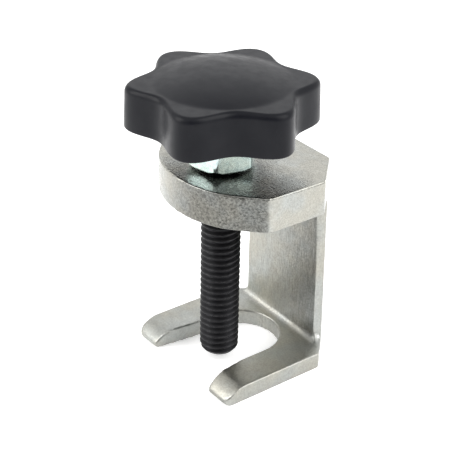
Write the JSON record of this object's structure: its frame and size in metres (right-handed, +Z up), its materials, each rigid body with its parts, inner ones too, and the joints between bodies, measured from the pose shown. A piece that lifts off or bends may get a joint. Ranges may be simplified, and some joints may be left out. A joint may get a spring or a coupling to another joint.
{
  "type": "ball joint separator",
  "caption": "Hand-driven screw separator: forged C-frame with forked foot, forcing screw through the arm, lock nut and lobed knob.",
  "frame": {"origin": "centre of the bottom of the whole object's box at rest, on the plane the foot stands on; the screw's axis is 1.5 mm in front of it", "axes": "+Z up along the screw, from the foot to the knob; -Y towards the prongs' tips, so the web is at the back, +Y; +X to the right when looking along +Y"},
  "size_m": [0.056, 0.0536, 0.096],
  "materials": {
    "plated_steel": "satin plated forging, fine wrinkled sides, ground top",
    "black_steel": "black oxide",
    "zinc_plate": "bright bluish zinc plate",
    "black_plastic": "satin moulded plastic",
    "brass": "turned"
  },
  "bodies": {
    "frame": {"frame": "plated_steel"},
    "carrier": {"knob_insert": "brass"},
    "spindle": {"spindle_screw": "black_steel", "lock_nut": "zinc_plate", "star_knob": "black_plastic"}
  },
  "joints": [
    {"name": "spindle_travel", "type": "slide", "parent": "frame", "child": "carrier", "axis": [0, 0, 1], "range_m": [-0.00051, 0.05351]},
    {"name": "spindle_turn", "type": "hinge", "parent": "carrier", "child": "spindle", "pos_m": [0, -0.00153, 0.0679], "axis": [0, 0, 1], "range_deg": [-90, 9630]}
  ],
  "couplings": [
    {"joint": "spindle_travel", "follows": "spindle_turn", "m_per_rad": 0.00031831}
  ]
}
